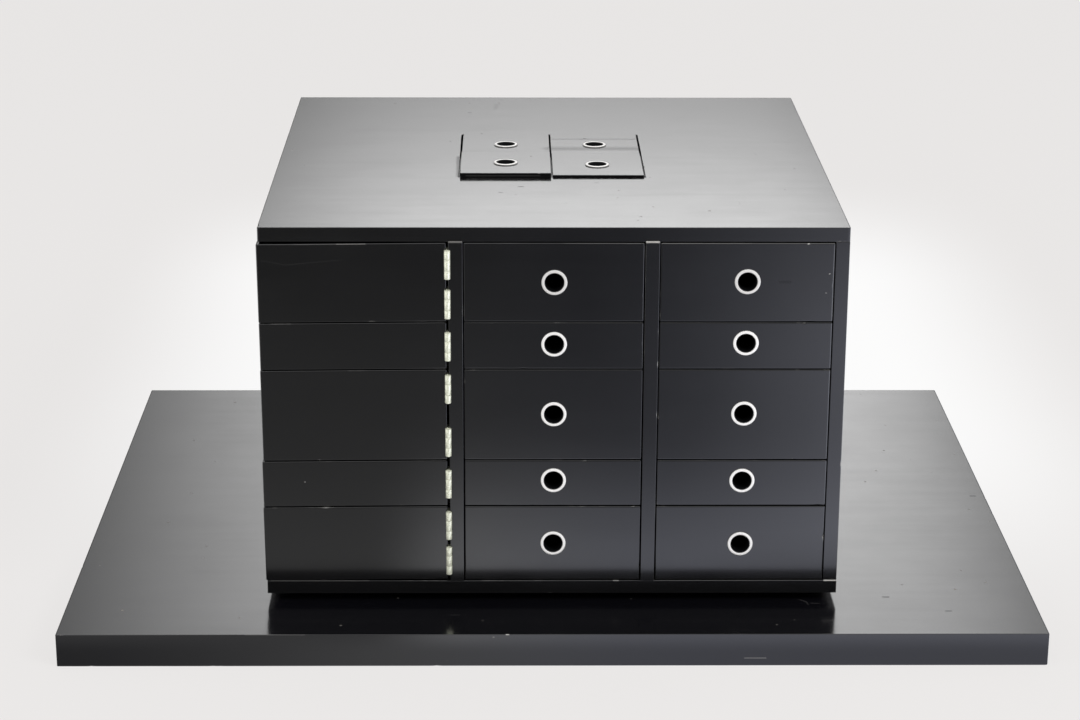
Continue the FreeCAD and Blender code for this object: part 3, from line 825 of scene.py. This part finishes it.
def turned_ring(node, axis, body, least_shade=0.0):
    """A ring turned about an axis: its closed section is carried round a full circle.

    The crown is half an ellipse, squared off a little: across it r = middle + half cos t
    and h = edge + rise * sin t to the power 0.8, for t from 0 to 180 degrees. The last
    argument is the least painted shade that the whole ring gets."""
    low, high = box_mm(node)
    flat = [a for a in range(3) if a != axis]
    middle = (low + high) / 2
    rim = (high[flat[0]] - low[flat[0]]) / 2
    bore = ring_inner / 2
    out = -1.0 if axis == 1 else 1.0
    foot, crown = (high[1], low[1]) if axis == 1 else (low[2], high[2])
    seat = crown - out * flange_height
    t = np.linspace(0, np.pi, 25)
    r = (rim + bore) / 2 + (rim - bore) / 2 * np.cos(t)
    h = flange_edge + (flange_height - flange_edge) * np.sin(t) ** 0.8
    depth = -abs(foot - seat)
    r = np.concatenate([[rim, rim], r, [bore, bore, bore + ring_ease, bore + sleeve_wall,
                        bore + sleeve_wall]])
    h = np.concatenate([[0, ring_ease], h, [0.1, depth + ring_ease, depth, depth, 0.0]])
    turn = np.linspace(0, 2 * np.pi, ring_steps, endpoint=False)[:, None]
    points = np.zeros((ring_steps, len(r), 3))
    points[..., flat[0]] = middle[flat[0]] + r * np.cos(turn)
    points[..., flat[1]] = middle[flat[1]] + r * np.sin(turn)
    points[..., axis] = seat + out * h
    # Painted shade: full in the sleeve and within 0.6 mm of the hole, and 0.8 on the outer edge of
    # the crown.
    ring_shade = np.clip((bore + 1.0 - r) / 0.4, 0, 1) + 0.8 * np.clip((r - rim + 0.5) / 0.4, 0, 1)
    ring_shade[2 + len(t):] = 1.0
    ring_shade = np.maximum(ring_shade, least_shade)
    marks = {"turned": np.tile(r, ring_steps), "ring_shade": np.tile(ring_shade, ring_steps)}
    make_piece(node + "_turned", points.reshape(-1, 3),
               ring_quads(ring_steps, len(r), joined=True), ring_aluminium, body,
               [node], marks, crease=50.0)


ring_aluminium = turned_aluminium("satin_turned_aluminium")


# Drawers. Each front is cut from the laminated board and bored for its ring, and is screwed
# to a box of stained boards that slides on two runners.
front_arris = 1.0
front_dip = 0.6                     # how far the sheet on a front dips
top_row_shade = 0.26                  # painted shade that darkens the rings of the top row
front_face = box_mm("centre_drawer_1_front")[0][1]
arris_top = box_mm("centre_drawer_1_front")[1][2] - arris_in
drawer_scratches_and_highlights = marks_on(
    "y", front_face, (257.0, 427.0, 258.5, 427.3, 0.9, 0.8),
    (279.6, 395.4, 280.6, 395.6, 0.7, 0.5), (276.8, 375.3, 277.8, 375.2, 0.6, 0.4))
# Painted highlights: faint pale lines along the top arris of the top row of drawers, and down the
# right arris of the right one.
drawer_scratches_and_highlights += marks_on(
    "y", front_face + arris_in, (10.0, arris_top, 88.0, arris_top, 0.8, 0.05),
    (108.0, arris_top, 200.0, arris_top, 0.8, 0.12),
    (200.0, arris_top, 284.0, arris_top, 0.8, 0.08), (284.3, 350.0, 284.3, 424.0, 0.8, 0.06))
drawer_laminate = black_laminate("drawer_front_laminate", front_dip, drawer_scratches_and_highlights, marks_on(
    "y", front_face, (230.0, 387.0, 240.0, 387.0, 2.5, 0.4)))
for column in ("centre", "right"):
    for row in range(1, 6):
        name = f"{column}_drawer_{row}"
        low, high = box_mm(name + "_front")
        middle = sum(box_mm(name + "_ring")) / 2
        hole = round_hole((middle[0], middle[2]), ring_hole)
        board_piece(name + "_front_laminated",
                    [outline(rectangle(low, high, "xz"), radius=1.0), hole],
                    (low[1], high[1]), "xzy", name, seed=30 + 10 * row + (column == "right"),
                    radius=front_arris, wear=0.25, nicks=2, replaces=[name + "_front"],
                    material=drawer_laminate)
        turned_ring(name + "_ring", 1, name, top_row_shade if row == 1 else 0.0)


# Doors. Each is one laminated board hung on its right edge. The hinges have given a little,
# so the free left end of every door has dropped and its seams run open towards the left.
door_drop = 1.5
door_scratches_and_highlights = marks_on(
    "y", front_face, (-296.0, 409.2, -272.0, 404.7, 0.8, 0.012),
    (-272.0, 404.7, -243.5, 407.4, 0.8, 0.015), (-243.5, 407.4, -214.7, 410.0, 0.8, 0.012),
    (-258.3, 169.9, -257.3, 169.9, 0.7, 0.4))
# Painted highlights: pale lines along the top arris of the top door.
door_scratches_and_highlights += marks_on("y", front_face + arris_in, (-262.0, 426.2, -220.0, 426.5, 0.8, 0.05),
                           (-220.0, 426.5, -191.0, 426.8, 0.8, 0.20))
door_laminate = black_laminate("door_laminate", front_dip, door_scratches_and_highlights)
for number in range(1, 6):
    low, high = box_mm(f"door_{number}")
    lean = door_drop * (high[2] - low[2] - door_drop) / (high[0] - low[0])
    corners = [(low[0] + lean, low[2]), (high[0], low[2] + door_drop), (high[0], high[2]),
               (low[0], high[2] - door_drop)]
    middles = hinge_middles(number)
    foot = low[2] + door_drop
    stops = [(1, z - foot) for m in middles for z in (m - hinge_reach, m + hinge_reach)]
    notches = [(lambda c, m=m: (c[:, 0] > high[0] - 1.5) & (abs(c[:, 1] - m) < hinge_reach),
                pin_x - high[0], low[1] - pin_y, knuckle_room) for m in middles]
    board_piece(f"door_{number}_laminated", [outline(corners, radius=1.0, stops=stops)],
                (low[1], high[1]), "xzy", f"door_{number}", seed=90 + 3 * number,
                radius=front_arris, wear=0.25, nicks=2, notches=notches,
                replaces=[f"door_{number}"], material=door_laminate)


# Hinges. Each is a small butt hinge in nickel-plated brass: two leaves whose ends are rolled
# round a pin, two knuckles on the fixed leaf and one on the door's. Four countersunk
# slotted screws hold each hinge.
nickel_ivory = "#F6F9E4"
# dark olive of the painted shade at the gaps between knuckles, and of dirt on the pins
shade_and_grime = "#4A4838"
seam_half = 1.2                     # from the pin to the board on each side
leaf_thickness = 1.0
leaf_width = 15.0
leaf_root = 3.9                     # from the pin, where the flat of the leaf starts
roll_bore = 1.55
roll_slit = 0.12                    # between the end of the roll and the leaf
root_fillet = 0.8
pin_radius = 1.5
knuckle_gap = 0.15                  # between two knuckles
knuckle_ease = 0.12                 # on the ends of the knuckles
half_ease = 0.035                   # how far in the ease is half way round
gap_shade_reach = 0.4                   # from the gap, over which the painted shade thins out
pin_short = 0.35                    # the pins end this far inside the knuckles
pin_dome = 0.3                      # height of the dome
pin_grime = 0.3                     # how dirty the pins are
screw_head = 2.3                    # radius
screw_slot = 0.32                   # half its width
slot_depth = 0.35
screw_sunk = 0.08                   # below the face of the leaf
plate_hole_in = 9.6                 # from the pin to the screws
plate_hole_up = 9.0                 # from the middle of the hinge to each screw


def nickel_plate(name):
    """Nickel-plated brass, yellowed by age, with specks of painted shade where two knuckles meet.
    The plating varies, and the painted shade lies, in patches of about 2 mm."""
    material, tree, place = new_material(name)
    cloud = add(tree, "TexNoise", {"Vector": place, "Scale": 500.0, "Detail": 4.0,
                "Roughness": 0.65})
    shade_and_dirt = add(tree, "Attribute", attribute_name="shade_and_dirt").outputs["Fac"]
    shade_and_dirt = add(tree, "Math", (shade_and_dirt, cloud), operation="MULTIPLY")
    shade_and_dirt = add(tree, "MapRange", (shade_and_dirt, 0.42, 0.60, 0.0, 0.8))
    colour = add(tree, "Mix", {0: shade_and_dirt, 6: linear(nickel_ivory), 7: linear(shade_and_grime)}, **tints)
    rough = add(tree, "MapRange", (cloud, 0.3, 0.7, 0.22, 0.36))
    metal = add(tree, "MapRange", (shade_and_dirt, 0.0, 0.8, 0.45, 0.1))
    bump = add(tree, "Bump", {"Height": cloud, "Strength": 0.5, "Distance": 0.00008})
    shader = add(tree, "BsdfPrincipled", {"Base Color": colour.outputs[2],
                 "Roughness": rough, "Metallic": metal, "Normal": bump})
    add(tree, "OutputMaterial", (shader,))
    return material


def rolled_section(side):
    """The section of a leaf's root and roll, round the pin, for the board on one side.

    It runs down the leaf's outer face, round a fillet, clockwise round the outside of the
    roll to its end, in to the bore, and anticlockwise round the bore to the inner face."""
    inner_face = seam_half - leaf_thickness
    fillet_x = seam_half + root_fillet
    fillet_y = math.sqrt((knuckle_radius + root_fillet) ** 2 - fillet_x ** 2)
    meet = math.atan2(fillet_y, fillet_x)
    bend = np.linspace(np.pi, np.pi + meet, 6)
    roll = np.linspace(meet, math.acos((inner_face - roll_slit) / knuckle_radius) - 2 * np.pi, 56)
    bore = np.linspace(math.acos((inner_face - roll_slit) / roll_bore) - 2 * np.pi,
                       math.acos(inner_face / roll_bore), 40)
    x = np.concatenate([[seam_half], fillet_x + root_fillet * np.cos(bend),
                        knuckle_radius * np.cos(roll[1:]), roll_bore * np.cos(bore),
                        [inner_face]])
    y = np.concatenate([[leaf_root + 0.1], fillet_y + root_fillet * np.sin(bend),
                        knuckle_radius * np.sin(roll[1:]), roll_bore * np.sin(bore),
                        [leaf_root + 0.1]])
    return np.stack([side * x, y], axis=1)


def knuckle_points(side, low, high, gaps):
    """The rolled section carried up Z and drawn in at both ends, to break the edge.

    Painted shade sits at the gaps between the knuckles."""
    section = rolled_section(side)
    tangent = np.roll(section, -1, axis=0) - np.roll(section, 1, axis=0)
    normal = np.stack([tangent[:, 1], -tangent[:, 0]], axis=1)
    normal = side * normal / np.linalg.norm(normal, axis=1)[:, None]
    steps = np.array([knuckle_ease, half_ease, 0.0])
    ease = np.concatenate([steps, [0.0], steps[::-1]])
    z = np.concatenate([low + steps[::-1], [(low + high) / 2], high - steps])
    flat = section + normal * ease[:, None, None]
    points = np.zeros(flat.shape[:2] + (3,))
    points[..., 0] = pin_x + flat[..., 0]
    points[..., 1] = pin_y + flat[..., 1]
    points[..., 2] = z[:, None]
    near = np.minimum(abs(z - gaps[0]), abs(z - gaps[1]))
    gap_shade = np.clip(1.2 - near / gap_shade_reach, 0, 1)
    return points, np.repeat(gap_shade[:, None], len(section), axis=1)


def leaf_piece(name, side, middles, fixed, body, replaces):
    """The leaves of one side: rolled knuckles, and a flat plate with two holes for each."""
    points, faces, shade_and_dirt = [], [], []
    start = 0
    for middle in middles:
        ends = middle - hinge_height / 2, middle + hinge_height / 2
        inner = middle - middle_knuckle / 2, middle + middle_knuckle / 2
        spans = [(ends[0], inner[0]), (inner[1], ends[1])] if fixed else [
            (inner[0] + knuckle_gap, inner[1] - knuckle_gap)]
        for low_z, high_z in spans:
            grid, marks = knuckle_points(side, low_z, high_z, inner)
            rows, columns = marks.shape
            points.append(grid.reshape(-1, 3))
            shade_and_dirt.append(marks.ravel())
            faces += ring_quads(rows, columns, start).tolist()
            faces.append(list(range(start, start + columns)))
            faces.append(list(range(start + (rows - 1) * columns, start + rows * columns)))
            start += rows * columns
    make_piece(name + "_knuckles", np.concatenate(points), faces, hinge_nickel, body,
               replaces, {"shade_and_dirt": np.concatenate(shade_and_dirt)}, crease=30.0)
    for number, middle in enumerate(middles, 1):
        foot = middle - hinge_height / 2
        plate = [(pin_y + leaf_root, foot), (pin_y + leaf_width, foot),
                 (pin_y + leaf_width, foot + hinge_height), (pin_y + leaf_root, foot + hinge_height)]
        holes = [round_hole((pin_y + plate_hole_in, middle + up), screw_head, count=28,
                            radius=0.1) for up in (-plate_hole_up, plate_hole_up)]
        face_x = pin_x + side * (seam_half - leaf_thickness)
        board_piece(f"{name}_plate_{number}", [outline(plate, radius=0.8, step=3.0)] + holes,
                    (face_x, face_x + side * leaf_thickness), "yzx", body, seed=7, radius=0.12,
                    wear=0.0, nicks=0, material=hinge_nickel)


def slotted_screws(name, side, middles, body):
    """Countersunk screws: a disc with a slot across it, a rim, a cone and a short shank.

    The disc is a grid of u and v with x = R u and y = v R sqrt(1 - u squared), lower where
    the slot is, and the rings under it have its edge's angles."""
    slot = screw_slot / screw_head
    u = np.array([-1, -0.97, -0.9, -0.75, -0.5, -0.3, -slot - 0.003, -slot,
                  slot, slot + 0.003, 0.3, 0.5, 0.75, 0.9, 0.97, 1])
    across, along = np.meshgrid(u, np.linspace(-1, 1, 9), indexing="ij")
    disc = np.stack([screw_head * across, screw_head * along * np.sqrt(1 - across ** 2),
                     np.where(abs(across) < slot + 0.001, slot_depth, 0.0)], axis=-1)
    rows, columns = across.shape
    numbers = np.arange(rows * columns).reshape(rows, columns)
    quads = np.stack([numbers[:-1, :-1], numbers[:-1, 1:], numbers[1:, 1:], numbers[1:, :-1]],
                     axis=-1).reshape(-1, 4)
    edge = np.concatenate([numbers[:, 0], numbers[-2:0:-1, -1]])
    rim = disc.reshape(-1, 3)[edge]
    turn = np.arctan2(rim[:, 1], rim[:, 0])
    # The rim, the cone's foot, the shank and its tip, as radii and depths.
    radius = np.array([screw_head, 1.15, 1.15, 1.0, 0.1])[:, None]
    depth = np.array([0.42, 1.4, 6.0, 7.5, 8.5])[:, None]
    below = np.stack([radius * np.cos(turn), radius * np.sin(turn),
                      np.repeat(depth, len(edge), axis=1)], axis=-1)
    sides = np.concatenate([edge, np.arange(below.size // 3) + disc.size // 3])
    screw = np.concatenate([disc.reshape(-1, 3), below.reshape(-1, 3)])
    screw_faces = quads.tolist() + sides[ring_quads(6, len(edge))].tolist() + [
        sides[-len(edge):].tolist()]
    points, faces = [], []
    draw = np.random.default_rng(5)
    face_x = pin_x + side * (seam_half - leaf_thickness + screw_sunk)
    for middle in middles:
        for up in (-plate_hole_up, plate_hole_up):
            spin = draw.uniform(0, np.pi)
            start = len(points) * len(screw)
            faces += [[number + start for number in face] for face in screw_faces]
            points.append(np.stack([
                face_x + side * screw[:, 2],
                pin_y + plate_hole_in + screw[:, 0] * np.cos(spin) - screw[:, 1] * np.sin(spin),
                middle + up + screw[:, 0] * np.sin(spin) + screw[:, 1] * np.cos(spin)], axis=1))
    points = np.concatenate(points)
    make_piece(name, points, faces, hinge_nickel, body,
               marks={"shade_and_dirt": np.zeros(len(points))}, crease=30.0)


def hinge_pins(name, middles, body):
    """Pins with a shallow dome at each end: r = R cos t and z = end + dome * sin t."""
    t = np.linspace(np.pi / 2, 0, 5)
    radius = np.concatenate([pin_radius * np.cos(t), pin_radius * np.cos(t[::-1])])
    turn = np.linspace(0, 2 * np.pi, 24, endpoint=False)
    r, a = np.meshgrid(radius, turn, indexing="ij")
    end = hinge_height / 2 - pin_short + pin_dome * np.sin(t)
    end = np.concatenate([-end, end[::-1]])[:, None]
    points, faces = [], []
    for number, middle in enumerate(middles):
        points.append(np.stack([pin_x + r * np.cos(a), pin_y + r * np.sin(a),
                                middle + end + 0 * a], axis=-1).reshape(-1, 3))
        faces += ring_quads(len(radius), len(turn), number * r.size).tolist()
    points = np.concatenate(points)
    make_piece(name, points, faces, hinge_nickel, body,
               marks={"shade_and_dirt": np.full(len(points), pin_grime)}, crease=40.0)


hinge_nickel = nickel_plate("aged_nickel_plate")
leaf_piece("hinge_fixed", 1, all_hinges, True, "cabinet", ["hinge_fixed_leaves"])
hinge_pins("hinge_pins", all_hinges, "cabinet")
slotted_screws("hinge_fixed_screws", 1, all_hinges, "cabinet")
for number in range(1, 6):
    leaf_piece(f"door_{number}_hinge", -1, hinge_middles(number), False, f"door_{number}",
               [f"door_{number}_hinge_leaf"])
    slotted_screws(f"door_{number}_hinge_screws", -1, hinge_middles(number), f"door_{number}")


# Lids. Four loose squares of board, each with a ring, lie on the walls of the well. They
# were cut from offcuts of unequal thickness, so the front left one stands highest.
lid_seeds = {"front_left": 169, "front_right": 168, "back_left": 163, "back_right": 170}
# Painted highlight: a faint pale line along the front edge of the front left lid.
lid_edge_highlight = marks_on("y", box_mm("lid_front_left")[0][1],
                       (-92.0, 445.4, -12.0, 445.4, 0.8, 0.05))
lid_smudges = marks_on("z", box_mm("lid_back_right")[1][2],
                       (2.6, 79.2, 100.0, 79.6, 1.3, 0.9), (40.5, 81.3, 42.0, 81.3, 2.0, 0.9),
                       (1.7, 33.0, 102.0, 33.0, 15.0, 0.30))
lid_laminate = black_laminate("lid_laminate", 0.1, lid_edge_highlight, lid_smudges)
for which, seed in lid_seeds.items():
    name = f"lid_{which}"
    low, high = box_mm(name)
    middle = sum(box_mm(name + "_ring")) / 2
    hole = round_hole((middle[0], middle[1]), ring_hole)
    board_piece(name + "_laminated", [outline(rectangle(low, high, "xy"), radius=0.8), hole],
                (high[2], low[2]), "xyz", name, seed=seed, radius=0.4, replaces=[name],
                material=lid_laminate)
    turned_ring(name + "_ring", 2, name)
